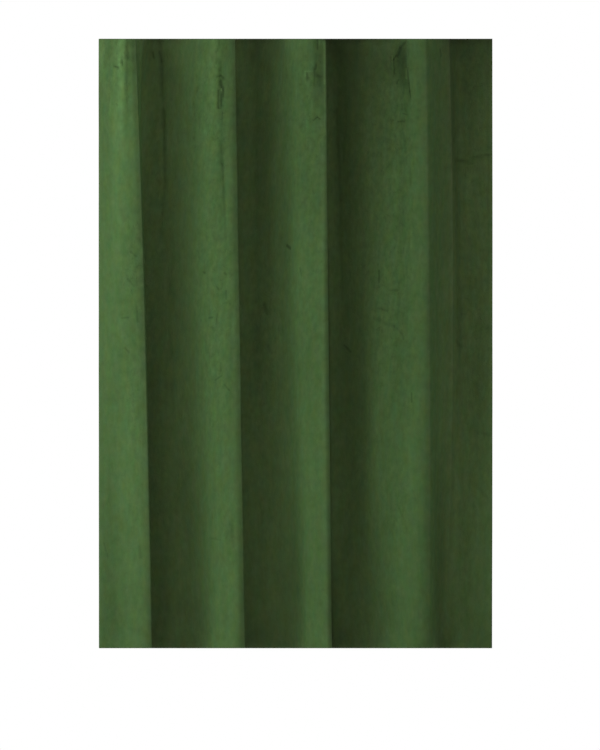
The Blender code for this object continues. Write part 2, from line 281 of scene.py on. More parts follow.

# Painted light and shade: broad soft patches that lighten or darken the pile, at a
# picture point, half width and half height in points, and how much lighter.
PAINTED_LIGHT_PATCHES = (
    # ridge 1
    (101, 52, 4, 20, 0.14),
    (108, 50, 4, 18, -0.05),
    (99.5, 95, 1.5, 30, -0.06),
    (104, 130, 6, 90, -0.04),
    (102, 390, 2.5, 90, -0.04),
    (128, 455, 9, 42, 0.045),
    (108, 570, 7, 100, -0.10),
    (120, 95, 6, 110, 0.11),
    (118, 625, 8, 25, -0.05),
    (141, 110, 2, 60, 0.10),
    (134, 105, 4, 60, 0.13),
    (112, 606, 13, 28, -0.04),
    # valley 1
    (144, 95, 4, 55, 0.12),
    (152, 44, 5, 5, 0.08),
    (155, 240, 7, 80, 0.09),
    (168, 155, 5, 60, 0.12),
    (169, 300, 3, 40, 0.06),
    (170, 430, 7, 90, 0.10),
    (178, 570, 5, 30, 0.08),
    (177, 632, 5, 10, 0.07),
    (178, 470, 6, 70, 0.05),
    (187, 480, 5, 60, -0.04),
    (146, 420, 1.5, 70, 0.06),
    (163, 612, 8, 22, -0.05),
    (196, 622, 9, 18, -0.10),
    # ridge 2
    (215, 70, 3, 60, 0.07),
    (231.5, 72, 2, 36, 0.05),
    (196, 100, 8, 45, -0.05),
    (200, 46, 8, 8, -0.07),
    (224, 85, 4, 45, -0.06),
    (231, 375, 3, 40, -0.07),
    (231, 535, 3, 14, -0.05),
    (234, 600, 4, 45, 0.05),
    (196, 540, 5, 30, -0.05),
    (192, 165, 7, 50, -0.04),
    (222, 165, 2, 45, -0.06),
    (218, 165, 4, 50, -0.04),
    (233, 160, 3, 90, -0.04),
    # valley 2
    (250, 260, 8, 200, 0.06),
    (258, 46, 10, 12, -0.14),
    (239, 60, 4, 20, 0.08),
    (279, 48, 5, 12, -0.10),
    (248, 596, 4, 20, -0.05),
    (266, 92, 3, 10, 0.10),
    (258, 150, 3, 90, -0.05),
    (258, 345, 4, 30, -0.08),
    (273, 570, 5, 30, 0.05),
    (256, 480, 6, 90, 0.06),
    (270, 440, 6, 110, 0.06),
    (290, 600, 7, 60, -0.08),
    (301, 560, 5, 50, -0.05),
    # ridge 3
    (303, 95, 14, 50, -0.05),
    (309, 200, 10, 34, -0.05),
    (286, 245, 4, 60, -0.04),
    (319.5, 64, 2.5, 13, -0.08),
    (318.5, 86, 3.5, 12, -0.10),
    (308, 355, 10, 30, -0.04),
    (323.5, 150, 1.5, 110, 0.09),
    # valley 3 and ridge 4
    (333, 62, 9, 34, -0.10),
    (338, 130, 6, 50, -0.06),
    (334, 600, 3, 22, -0.12),
    (345, 490, 6, 30, 0.05),
    (352, 115, 3, 15, 0.05),
    (348, 44, 15, 14, -0.18),
    (365, 60, 8, 30, -0.08),
    (370, 42, 7, 6, 0.10),
    (342, 330, 8, 160, 0.05),
    (358, 252, 5, 25, 0.06),
    (367, 100, 5, 50, 0.09),
    (366, 530, 6, 90, 0.08),
    (380, 90, 16, 70, -0.10),
    (381, 240, 6, 60, -0.04),
    (388, 560, 8, 60, -0.04),
    (401, 68, 4, 13, -0.16),
    (402, 53, 5, 8, -0.12),
    (411, 54, 5, 16, -0.07),
    (404.5, 70, 2.5, 8, -0.08),
    (391, 74, 5, 8, -0.07),
    (386, 60, 6, 14, -0.06),
    (410, 88, 4, 30, -0.06),
    (398, 178, 3, 14, 0.06),
    (378, 480, 5, 70, 0.05),
    (414, 470, 6, 35, 0.04),
    (395, 618, 13, 18, -0.05),
    (427, 520, 2.5, 90, -0.05),
    (420, 95, 3, 40, -0.05),
    (428, 320, 1.8, 55, -0.05),
    (406, 82, 3, 8, -0.08),
    (404, 220, 7, 80, -0.08),
    (400, 380, 7, 60, -0.07),
    # right of ridge 4
    (439, 110, 10, 120, -0.07),
    (441, 560, 4, 60, -0.08),
    (445, 250, 8, 70, -0.05),
    (452, 135, 2, 40, -0.05),
    (457, 270, 4, 25, 0.06),
    (473, 330, 4, 16, 0.06),
    (460, 600, 4, 40, 0.06),
    (461, 340, 4, 110, -0.08),
    (478, 370, 6, 70, -0.04),
    (462, 75, 14, 50, -0.11),
    (478, 50, 10, 26, -0.07),
    (458, 44, 8, 9, -0.05),
    (489.5, 200, 2, 160, -0.08),
    (469, 510, 7, 90, 0.06),
    (455.5, 450, 2, 50, 0.06),
    (448.5, 310, 3, 70, -0.04),
    (450, 637, 5, 12, 0.05),
    (461, 638, 9, 9, 0.06),
    (482, 630, 9, 60, -0.07),
    (469, 200, 2.5, 16, 0.08),
    (446, 282, 3, 18, 0.05),
    (456, 360, 3, 16, 0.06),
    (483, 400, 4, 60, -0.04),
    (488, 62, 4, 20, -0.06),
)
# painted shade: how much darker the valleys' ends are at the top and low, and how far in
TOP_SHADE, LOW_SHADE, END_REACH = 0.14, 0.27, 0.028
TOP_RIM, RIM_REACH = 0.14, 0.007          # and more painted shade close below the top edge


def corners(cloth, number, down):
    """How far the crisp corners push each row's points out, in metres, how near
    each point is to one, from 0 to 1 (the mask of the painted sheen), and the painted shade past one."""
    out, near, painted_shade_past = np.zeros(cloth.shape), np.zeros(cloth.shape), np.zeros(cloth.shape)
    for line, reach, (top, mid, low), shade in CORNERS:
        tall = top * (1 - down) * (1 - 2 * down) + mid * 4 * down * (1 - down) + low * down * (2 * down - 1)
        centre = np.array([np.interp(line, n, c) for n, c in zip(number, cloth)])
        away = cloth - centre[:, None]
        out += 0.001 * tall * np.exp(-(np.sqrt(away ** 2 + CORNER_ROUND ** 2) - CORNER_ROUND) / (reach * 0.001))
        # painted sheen: a pale band along each corner
        sheen_band = 0.5 * np.exp(-0.5 * (away / 0.0014) ** 2) + 0.5 * np.exp(-0.5 * (away / 0.0060) ** 2) * (away < 0.0005)
        near = np.maximum(near, sheen_band * np.clip(tall / 2, 0, 1))
        # painted shade just past the corner
        painted_shade_past += shade * np.clip(away / 0.0016, 0, 1) * np.exp(-(np.maximum(away, 0) / 0.012) ** 2)
    return out, near, painted_shade_past


# painted light and shade from the broad patches
def painted_patches(x, z):
    light = np.zeros(x.shape)
    for px, py, wide, high, more in PAINTED_LIGHT_PATCHES:
        dx = (x - (px - PICTURE_X) * PIXEL) / (wide * PIXEL)
        dz = (z - (PICTURE_Y - py) * PIXEL) / (high * PIXEL)
        light += more * np.exp(-0.5 * (dx * dx + dz * dz))
    return light


# Where the pile is crumpled into small creases: picture point, half width and
# half height in points, and how much.
CRUMPLED = (
    (118, 60, 12, 40, 1.0),
    (134, 262, 8, 32, 0.9),
    (134, 395, 8, 40, 0.5),
    (216, 95, 14, 60, 0.8),
    (218, 300, 14, 110, 0.8),
    (232, 530, 7, 30, 0.5),
    (262, 330, 12, 60, 0.5),
    (312, 100, 12, 70, 0.7),
    (314, 290, 12, 120, 0.4),
    (392, 100, 22, 60, 0.9),
    (390, 290, 20, 90, 0.9),
    (401, 510, 10, 30, 0.5),
    (474, 110, 14, 80, 0.45),
    (474, 320, 14, 120, 0.45),
    (156, 230, 12, 180, 0.25),
)


def crumpled(x, z):
    much = np.full(x.shape, 0.12)
    for px, py, wide, high, more in CRUMPLED:
        dx = (x - (px - PICTURE_X) * PIXEL) / (wide * PIXEL)
        dz = (z - (PICTURE_Y - py) * PIXEL) / (high * PIXEL)
        much += more * np.exp(-0.5 * (dx * dx + dz * dz))
    return np.clip(much, 0, 1)


def unevenness(cloth, fall):
    """Soft ripples that run down the cloth, and the pile's uneven lie."""
    rise, lie = np.zeros(cloth.shape), np.zeros(cloth.shape)
    for k, (s, t) in enumerate(zip(cloth.ravel(), fall.ravel())):
        a = noise.noise(Vector((s / 0.024, t / 0.150, 3.7)))
        b = noise.noise(Vector((s / 0.011, t / 0.060, 9.1)))
        c = noise.noise(Vector((s / 0.055, t / 0.110, 5.3)))
        rise.flat[k] = 0.00042 * a + 0.00016 * b
        lie.flat[k] = 0.035 * c + 0.025 * b
    return rise, lie


def drape_mesh(name):
    fall = rows()
    middle, cloth, number = [], [], []
    for z in fall:
        run, length, lines = fold_row(z / DROP)
        across = columns(run, length, lines)
        cloth.append(across)
        number.append(np.interp(across, length, lines))
        middle.append(np.stack([np.interp(across, length, run[:, 0]), np.interp(across, length, run[:, 1]),
                                np.full(len(across), -z)], axis=1))
    middle, cloth, number = np.array(middle), np.array(cloth), np.array(number)
    nv, nu = cloth.shape
    drop = np.repeat(fall[:, None], nu, axis=1)
    along = np.zeros(middle.shape)
    along[:, 1:-1] = middle[:, 2:] - middle[:, :-2]
    along[:, 0], along[:, -1] = middle[:, 1] - middle[:, 0], middle[:, -1] - middle[:, -2]
    out = np.stack([along[:, :, 1], -along[:, :, 0], 0 * cloth], axis=2)
    out /= np.linalg.norm(out, axis=2, keepdims=True)      # towards the pile side, level
    height, light = marks(middle[:, :, 0], middle[:, :, 2], number)
    rise, lie = unevenness(cloth, drop)
    corner_out, corner_sheen, painted_shade_past = corners(cloth, number, drop / DROP)
    middle = middle + out * (rise + height + corner_out)[:, :, None]
    # painted shade mask: deeper into the folds, and on faces turned right, away from the key light
    deep = np.clip((middle[:, :, 1] + 0.030) / 0.072 + 0.25 * np.maximum(out[:, :, 0], 0), 0, 1)
    deep = deep * deep * (3 - 2 * deep)                      # painted shade mask: 0 on the ridges, 1 in the valleys and on faces turned from the key light
    light += painted_patches(middle[:, :, 0], middle[:, :, 2])
    # painted shade at the valleys' ends, top and low
    ends = TOP_SHADE * np.exp(-(drop / END_REACH) ** 1.5) + LOW_SHADE * np.exp(-((DROP - drop) / END_REACH) ** 1.5)
    ends = ends + TOP_RIM * np.exp(-(drop / RIM_REACH) ** 2)
    light -= ends * np.clip((middle[:, :, 1] + 0.018) / 0.055, 0, 1) + painted_shade_past
    # the pile's uneven lie, plus all the painted light and shade, goes into the pile's colour
    crush_and_painted_light = lie + np.clip(1 + light, 0.1, 2) ** 2.2 - 1      # as the eye takes it
    front = middle + out * CLOTH / 2
    some = np.ix_(range(0, nv, 2), range(0, nu, 2))
    hem = ((cloth < SIDE_HEM - 0.5 * HEM_STEP) | (cloth > FLAT_WIDTH - SIDE_HEM + 0.5 * HEM_STEP)
           | (drop < TOP_HEM - 0.5 * HEM_STEP) | (drop > DROP - BOTTOM_HEM + 0.5 * HEM_STEP))[some]
    back = middle[some] - out[some] * (CLOTH / 2 + HEM_RISE * hem[:, :, None])
    nv2, nu2 = hem.shape

    # the rim: three rings between the faces, rounding the turned edge
    rim = [(0, i) for i in range(nu)] + [(j, nu - 1) for j in range(1, nv)]
    rim += [(nv - 1, i) for i in range(nu - 2, -1, -1)] + [(j, 0) for j in range(nv - 2, 0, -1)]
    rim_back = [(j, i) for j, i in rim if j % 2 == 0 and i % 2 == 0]
    rj, ri = np.array(rim).T
    thick = CLOTH + HEM_RISE
    away = np.zeros((len(rim), 3))
    away[rj == 0, 2], away[rj == nv - 1, 2] = 1, -1
    tangent = along / np.linalg.norm(along, axis=2, keepdims=True)
    away[ri == 0] -= tangent[rj[ri == 0], 0]
    away[ri == nu - 1] += tangent[rj[ri == nu - 1], nu - 1]
    rings = []
    for turn in (45, 90, 135):
        c, s = math.cos(math.radians(turn)), math.sin(math.radians(turn))
        centre = middle[rj, ri] - out[rj, ri] * HEM_RISE / 2
        rings.append(centre + out[rj, ri] * (c * thick / 2) + away * (s * RIM))
    verts = np.concatenate([front.reshape(-1, 3)] + rings + [back.reshape(-1, 3)])
    n_front, n_rim = nu * nv, len(rim)
    base = n_front + 3 * n_rim

    faces, kinds = [], []
    grid = np.arange(n_front).reshape(nv, nu)
    a, b, c, d = grid[:-1, :-1], grid[:-1, 1:], grid[1:, 1:], grid[1:, :-1]
    faces += np.stack([a, d, c, b], axis=2).reshape(-1, 4).tolist()
    kinds += [0] * len(faces)
    grid2 = base + np.arange(nu2 * nv2).reshape(nv2, nu2)
    a, b, c, d = grid2[:-1, :-1], grid2[:-1, 1:], grid2[1:, 1:], grid2[1:, :-1]
    faces += np.stack([a, b, c, d], axis=2).reshape(-1, 4).tolist()
    inside = ~(hem[:-1, :-1] & hem[1:, 1:] & hem[:-1, 1:] & hem[1:, :-1])
    kinds += inside.astype(int).ravel().tolist()
    first_rim = len(faces)
    loops = [[int(grid[j, i]) for j, i in rim]] + [list(range(n_front + k * n_rim, n_front + (k + 1) * n_rim)) for k in range(3)]
    for inner, outer in zip(loops, loops[1:]):
        for k in range(n_rim):
            m = (k + 1) % n_rim
            faces.append((inner[k], inner[m], outer[m], outer[k]))
    last = [int(grid2[j // 2, i // 2]) for j, i in rim_back]
    for k in range(len(last)):
        m = (k + 1) % len(last)
        o = loops[-1]
        p, q, r = o[2 * k], o[2 * k + 1], o[(2 * k + 2) % n_rim]
        faces += [(p, q, last[k]), (q, last[m], last[k]), (q, r, last[m])]
    kinds += [0] * (len(faces) - first_rim)

    mesh = bpy.data.meshes.new(name)
    mesh.from_pydata(verts.tolist(), [], faces)
    mesh.polygons.foreach_set("material_index", kinds)
    mesh.shade_smooth()

    # where each point lies on the flat cloth, in metres, for the pile and the weave
    flat = np.stack([cloth, drop], axis=2)
    lies = np.concatenate([flat.reshape(-1, 2)] + [flat[rj, ri]] * 3 + [flat[some].reshape(-1, 2)])
    side = np.concatenate([np.zeros(n_front + 3 * n_rim), np.full(nu2 * nv2, 2.0)])
    mesh.attributes.new("cloth", "FLOAT_VECTOR", "POINT").data.foreach_set(
        "vector", np.column_stack([lies, side]).astype(np.float32).ravel())
    lie_and_painted_light = np.concatenate([crush_and_painted_light.ravel()] + [crush_and_painted_light[rj, ri]] * 3 + [0 * crush_and_painted_light[some].ravel()])
    mesh.attributes.new("crush_and_painted_light", "FLOAT", "POINT").data.foreach_set("value", lie_and_painted_light.astype(np.float32))

    inward = np.concatenate([deep.ravel()] + [deep[rj, ri]] * 3 + [deep[some].ravel()])
    mesh.attributes.new("inner", "FLOAT", "POINT").data.foreach_set("value", inward.astype(np.float32))
    crumple = crumpled(middle[:, :, 0], middle[:, :, 2])
    for key, value in (("corner_sheen", corner_sheen), ("crumple", crumple)):
        spread = np.concatenate([value.ravel()] + [value[rj, ri]] * 3 + [0 * value[some].ravel()])
        mesh.attributes.new(key, "FLOAT", "POINT").data.foreach_set("value", spread.astype(np.float32))

    # one flat map: the pile face and the rim above, the back below
    spot = np.column_stack([0.03 + 0.94 * lies[:, 0] / FLAT_WIDTH, 1 - lies[:, 1] / DROP])
    on_back = np.arange(len(verts)) >= base
    ring = np.zeros(len(verts))
    for k in range(3):
        ring[n_front + k * n_rim:n_front + (k + 1) * n_rim] = k + 1
    push = np.zeros((len(verts), 2))
    for k in range(3):
        push[n_front + k * n_rim:n_front + (k + 1) * n_rim] = np.column_stack(
            [(ri == nu - 1) * 1.0 - (ri == 0), (rj == 0) * 1.0 - (rj == nv - 1)])
    above = np.column_stack([spot[:, 0], 0.53 + 0.44 * spot[:, 1]]) + 0.005 * push * ring[:, None]
    below = np.column_stack([spot[:, 0], 0.03 + 0.44 * spot[:, 1]])
    corner = np.empty(len(mesh.loops), dtype=np.int32)
    mesh.loops.foreach_get("vertex_index", corner)
    rim_loops = np.zeros(len(mesh.loops), dtype=bool)
    start = mesh.polygons[first_rim].loop_start
    rim_loops[start:] = True
    uv = np.where((on_back[corner] & ~rim_loops)[:, None], below[corner], above[corner])
    back_push = {}
    for k, (j, i) in enumerate(rim_back):
        back_push[last[k]] = ((i == nu - 1) * 1.0 - (i == 0), (j == 0) * 1.0 - (j == nv - 1))
    for k in np.nonzero(rim_loops & on_back[corner])[0]:
        uv[k] += 0.020 * np.array(back_push[int(corner[k])])
    mesh.uv_layers.new(name="OFBake").uv.foreach_set("vector", uv.astype(np.float32).ravel())
    return mesh, middle, out, cloth, drop


def stitch_mesh(name, middle, out, cloth, drop):
    """Rows of short thread stitches along the hems' inner edges, on the back."""
    edge = HEM_COLUMNS
    thread, long, pitch = 0.00026, 0.0030, 0.0046
    paths = []
    hem_back = middle - out * (CLOTH / 2 + HEM_RISE)
    w = 0.0022 / (cloth[0, edge] - cloth[0, edge - 2])
    for a, b in ((edge, edge - 2), (-1 - edge, -1 - edge + 2)):
        paths.append((hem_back[:, a] * (1 - w) + hem_back[:, b] * w, out[:, a]))
    for a, b in ((TOP_ROWS, TOP_ROWS - 2), (-1 - edge, -1 - edge + 2)):
        w = 0.0022 / abs(drop[a, 0] - drop[b, 0])
        paths.append((hem_back[a] * (1 - w) + hem_back[b] * w, out[a]))
    verts, faces = [], []
    for line, outward in paths:
        run = np.concatenate([[0.0], np.cumsum(np.linalg.norm(np.diff(line, axis=0), axis=1))])
        at = 0.006
        while at + long < run[-1] - 0.006:
            s = np.linspace(at, at + long, 5)
            p = np.stack([np.interp(s, run, line[:, k]) for k in range(3)], axis=1)
            o = np.array([np.interp(at, run, outward[:, k]) for k in range(3)])
            o /= np.linalg.norm(o)
            way = (p[-1] - p[0]) / np.linalg.norm(p[-1] - p[0])
            across = np.cross(way, o)
            slant = 0.00035 * math.sin(at * 2900.0)
            base = len(verts)
            for k, (rise, fat) in enumerate(((-0.4, 0.45), (0.75, 0.95), (1.0, 1.0), (0.75, 0.95), (-0.4, 0.45))):
                centre = p[k] - o * (rise * thread) + across * (slant * (k - 2) / 2)
                for m in range(6):
                    t = math.radians(60 * m)
                    verts.append(tuple(centre + thread * fat * (math.cos(t) * across + math.sin(t) * o)))
            for k in range(4):
                for m in range(6):
                    n = (m + 1) % 6
                    faces.append((base + 6 * k + m, base + 6 * k + n, base + 6 * k + 6 + n, base + 6 * k + 6 + m))
            faces.append(tuple(base + m for m in range(5, -1, -1)))
            faces.append(tuple(base + 24 + m for m in range(6)))
            at += pitch
    mesh = bpy.data.meshes.new(name)
    mesh.from_pydata(verts, [], faces)
    mesh.shade_smooth()
    return mesh


# ---- materials -------------------------------------------------------------------
class Nodes:
    """A few short ways to write a material's nodes."""

    def __init__(self, name):
        self.material = bpy.data.materials.new(name)
        self.material.use_nodes = True
        self.tree = self.material.node_tree
        self.shader = self.tree.nodes["Principled BSDF"]

    def put(self, socket, value):
        if isinstance(value, bpy.types.NodeSocket):
            self.tree.links.new(value, socket)
        else:
            socket.default_value = value

    def attribute(self, name, output):
        node = self.tree.nodes.new("ShaderNodeAttribute")
        node.attribute_name = name
        return node.outputs[output]

    def noise(self, where, size, detail=2.0, roughness=0.5):
        """Noise from 0 to 1 whose cells are size metres, across and down the cloth."""
        scale = self.tree.nodes.new("ShaderNodeVectorMath")
        scale.operation = "MULTIPLY"
        self.put(scale.inputs[0], where)
        scale.inputs[1].default_value = (1 / size[0], 1 / size[1], 1.0)
        node = self.tree.nodes.new("ShaderNodeTexNoise")
        node.inputs["Scale"].default_value = 1.0
        node.inputs["Detail"].default_value = detail
        node.inputs["Roughness"].default_value = roughness
        self.put(node.inputs["Vector"], scale.outputs[0])
        return node.outputs["Fac"]

    def math(self, kind, a, b=0.0, c=0.0):
        node = self.tree.nodes.new("ShaderNodeMath")
        node.operation = kind
        for socket, value in zip(node.inputs, (a, b, c)):
            self.put(socket, value)
        return node.outputs[0]

    def spread(self, fac, low, high):
        """fac from 0.25..0.75 to low..high, as noise mostly lies there"""
        node = self.tree.nodes.new("ShaderNodeMapRange")
        node.clamp = False
        self.put(node.inputs["Value"], fac)
        for key, value in (("From Min", 0.25), ("From Max", 0.75), ("To Min", low), ("To Max", high)):
            node.inputs[key].default_value = value
        return node.outputs["Result"]

    def ease(self, fac, low, high, start, end):
        """start below low, end above high, and a soft step between"""
        node = self.tree.nodes.new("ShaderNodeMapRange")
        node.interpolation_type = "SMOOTHSTEP"
        self.put(node.inputs["Value"], fac)
        for key, value in (("From Min", low), ("From Max", high), ("To Min", start), ("To Max", end)):
            node.inputs[key].default_value = value
        return node.outputs["Result"]

    def vector(self, kind, a, b):
        node = self.tree.nodes.new("ShaderNodeVectorMath")
        node.operation = kind
        self.put(node.inputs[0], a)
        self.put(node.inputs[1], b)
        return node.outputs["Value" if kind in ("DOT_PRODUCT", "DISTANCE") else "Vector"]

    def mix(self, fac, a, b):
        node = self.tree.nodes.new("ShaderNodeMix")
        node.data_type = "RGBA"
        self.put(node.inputs["Factor"], fac)
        self.put(node.inputs["A"], a)
        self.put(node.inputs["B"], b)
        return node.outputs["Result"]

    def product(self, a, b):
        node = self.tree.nodes.new("ShaderNodeVectorMath")
        node.operation = "MULTIPLY"
        self.put(node.inputs[0], a)
        self.put(node.inputs[1], b)
        return node.outputs[0]

    def times(self, colour, factor):
        node = self.tree.nodes.new("ShaderNodeVectorMath")
        node.operation = "SCALE"
        self.put(node.inputs[0], colour)
        self.put(node.inputs["Scale"], factor)
        return node.outputs[0]

    def bump(self, height, distance, strength=1.0, under=None):
        node = self.tree.nodes.new("ShaderNodeBump")
        node.inputs["Strength"].default_value = strength
        node.inputs["Distance"].default_value = distance
        self.put(node.inputs["Height"], height)
        if under is not None:
            self.put(node.inputs["Normal"], under)
        return node.outputs[0]


# Small marks of painted shade (below zero, painted light), finer than the mesh: fold lines from first to
# last, half width in mm, how much darker, and the mark's two ends in picture points.
PAINTED_SPOTS = (
    (0, 5, 0.8, 0.13, 115, 66.5, 118.8, 67.8),
    (0, 5, 0.8, 0.13, 122.6, 60, 123.2, 66),
    (5, 9, 1.2, 0.06, 153, 52.5, 154, 58.5),
    (5, 9, 1.6, 0.07, 159.5, 52, 162, 62),
    (5, 9, 2.4, 0.05, 161.8, 62, 162, 95),
    (5, 9, 3.2, 0.04, 163.6, 110, 163.9, 126),
    (5, 9, 1.4, 0.05, 164.2, 126, 165, 182),
    (7, 14, 1.1, 0.07, 221, 62, 221.3, 74),
    (7, 14, 1.3, 0.08, 217.6, 77, 221, 75.8),
    (7, 14, 1.3, 0.07, 221, 75.8, 223.5, 78),
    (7, 14, 1.8, 0.09, 220.8, 81.5, 221.6, 87.5),
    (7, 14, 0.9, 0.06, 218.8, 90.5, 220.5, 89.5),
    (7, 14, 1.1, 0.08, 218.5, 91, 218.4, 108),
    (7, 14, 3.4, 0.05, 221.6, 92, 221.4, 105),
    (7, 14, 1.4, 0.06, 223.5, 89, 223.6, 97),
    (7, 14, 1.5, 0.05, 221.8, 95, 221.6, 106),
    (7, 14, 0.9, 0.09, 218.6, 108.3, 220.5, 108.8),
    (7, 14, 0.7, 0.08, 222.5, 112, 222.5, 122),
    (17, 22, 1.1, 0.11, 317.9, 40, 317.9, 49),
    (17, 22, 1.2, 0.07, 316.4, 64.5, 315.8, 69.5),
    (17, 22, 0.8, 0.06, 314.5, 69, 314.4, 86),
    (17, 22, 1.5, 0.05, 318, 76, 321, 77),
    (17, 22, 0.8, -0.15, 322.3, 42, 322.7, 84),
    (17, 22, 0.8, -0.10, 322.7, 84, 323.2, 135),
    (17, 22, 0.7, 0.11, 314, 120.3, 317.6, 117.3),
    (17, 22, 0.7, 0.11, 317.6, 117.3, 320.3, 119.4),
    (17, 22, 0.6, -0.09, 305.5, 71.5, 313, 71.5),
    (17, 22, 0.6, -0.09, 305.6, 71.5, 305.6, 76),
    (17, 22, 1.3, 0.08, 307.5, 73.5, 307.5, 81),
    (26, 31, 1.6, 0.06, 405.8, 42, 401, 48),
    (26, 31, 2.8, 0.07, 401.5, 49.5, 398.8, 56),
    (26, 31, 1.1, 0.11, 397, 56, 394.4, 59.6),
    (26, 31, 0.9, 0.07, 394.6, 60, 395.6, 74),
    (26, 31, 0.9, -0.10, 392.6, 56, 393.4, 59.5),
    (26, 31, 0.9, 0.12, 408.2, 70.5, 409.5, 92),
    (26, 31, 1.0, 0.12, 409.5, 92, 410.7, 98),
    (26, 31, 0.6, -0.10, 406.2, 69, 406.4, 79),
    (26, 31, 0.8, 0.10, 399.3, 80, 397.4, 84),
    (26, 31, 0.9, 0.10, 403.5, 113.5, 407, 115),
    (26, 31, 0.9, 0.09, 398, 121.8, 405, 121.6),
    (0, 5, 0.9, 0.10, 117, 104, 118.5, 106),
    (5, 9, 0.8, 0.16, 141.8, 40, 141.8, 46),
    (7, 14, 0.8, -0.22, 221.4, 89, 221.7, 91),
    (7, 14, 0.9, 0.10, 213.8, 132, 214.6, 135),
    (31, 33, 1.6, 0.11, 439.8, 50, 440.4, 56),
    (0, 5, 1.6, 0.09, 125.5, 348, 129.5, 352),
    (0, 5, 2.4, 0.08, 140, 547, 141, 557),
    (0, 5, 1.5, 0.05, 104.5, 543, 108, 556),
    (0, 5, 1.3, 0.10, 123, 318, 129, 317.5),
    (0, 5, 1.4, 0.08, 137, 307, 138, 322),
    (0, 5, 1.4, 0.10, 131, 252, 136, 256),
    (0, 5, 1.4, 0.09, 128.5, 279, 134, 286),
    (7, 14, 1.5, 0.14, 204, 272, 205.5, 273),
    (7, 14, 1.6, 0.12, 225, 273, 226.5, 274.5),
    (7, 14, 1.3, 0.09, 217.5, 287, 219, 289),
    (7, 14, 1.3, 0.12, 226.5, 291, 226.5, 299),
    (7, 14, 1.3, 0.13, 209.5, 318, 213, 317.5),
    (7, 14, 1.3, 0.09, 217.8, 314, 216.5, 324),
    (7, 14, 1.3, 0.09, 221.3, 363, 221.3, 371),
    (7, 14, 1.3, 0.11, 216, 380, 222, 376),
    (7, 14, 1.3, 0.10, 225, 385, 229.5, 390),
    (7, 14, 2.6, 0.06, 232.5, 525, 234, 546),
    (7, 14, 1.1, 0.05, 212, 538, 221, 540),
    (15, 20, 2.6, 0.11, 265, 304, 267.6, 314),
    (15, 20, 2.2, 0.09, 268.6, 346, 272.4, 353),
    (15, 20, 2.0, 0.06, 267, 383, 268, 388),
    (17, 22, 2.3, 0.22, 288, 245.8, 291, 248.3),
    (17, 22, 1.3, 0.10, 300.5, 268, 302, 276),
    (24, 27, 1.8, 0.17, 345, 345.5, 351, 351.5),
    (24, 27, 2.4, 0.07, 337.5, 110, 341, 200),
    (24, 27, 2.4, 0.06, 341, 200, 343, 300),
    (26, 31, 1.6, 0.12, 379.5, 271, 379.5, 282),
    (26, 31, 1.7, 0.09, 390, 290, 398, 290.5),
    (26, 31, 1.8, 0.07, 379, 308, 388, 311),
    (26, 31, 2.8, 0.07, 375, 318, 394, 326),
    (26, 31, 1.7, 0.05, 395, 326, 402, 333),
    (26, 31, 1.5, 0.07, 403, 334, 404, 339),
    (26, 31, 1.4, -0.05, 411.5, 232, 411.5, 247),
    (26, 31, 1.2, 0.13, 412, 393, 412, 402),
    (26, 31, 1.6, 0.05, 398, 505, 404, 518),
    (32, 37, 2.8, 0.08, 456, 341, 461, 347),
    (32, 37, 2.2, 0.05, 475, 431, 490, 435),
    (32, 37, 2.4, 0.04, 471, 481, 489, 499),
)


def flat_place(px, py, first, last):
    """Where on the flat cloth a picture point lies, between two fold lines."""
    run, length, lines = fold_row((py - PICTURE_Y) * PIXEL / DROP)
    miss = np.abs(run[:, 0] - (px - PICTURE_X) * PIXEL) + 9.0 * ((lines < first) | (lines > last))
    miss += 9.0 * (np.gradient(run[:, 0], length) < 0.1)
    return float(length[int(np.argmin(miss))]), (py - PICTURE_Y) * PIXEL, 0.0


def painted_spots(n, where):
    """The painted shade and light of all the small spots."""
    light = 0.0
    for first, last, half, dark, ax, ay, bx, by in PAINTED_SPOTS:
        a, b = Vector(flat_place(ax, ay, first, last)), Vector(flat_place(bx, by, first, last))
        way = b - a
        gap = n.vector("SUBTRACT", where, tuple(a))
        along = n.vector("DOT_PRODUCT", gap, tuple(way / way.length_squared))
        along = n.math("MINIMUM", n.math("MAXIMUM", along, 0.0), 1.0)
        nearest = n.tree.nodes.new("ShaderNodeVectorMath")
        nearest.operation = "SCALE"
        nearest.inputs[0].default_value = tuple(way)
        n.put(nearest.inputs["Scale"], along)
        away = n.vector("DISTANCE", gap, nearest.outputs[0])
        mark = n.ease(away, 0.0, 2.0 * half * 0.001, (1 - dark) ** 2.2 - 1, 0.0)
        light = n.math("ADD", light, mark)
    return light


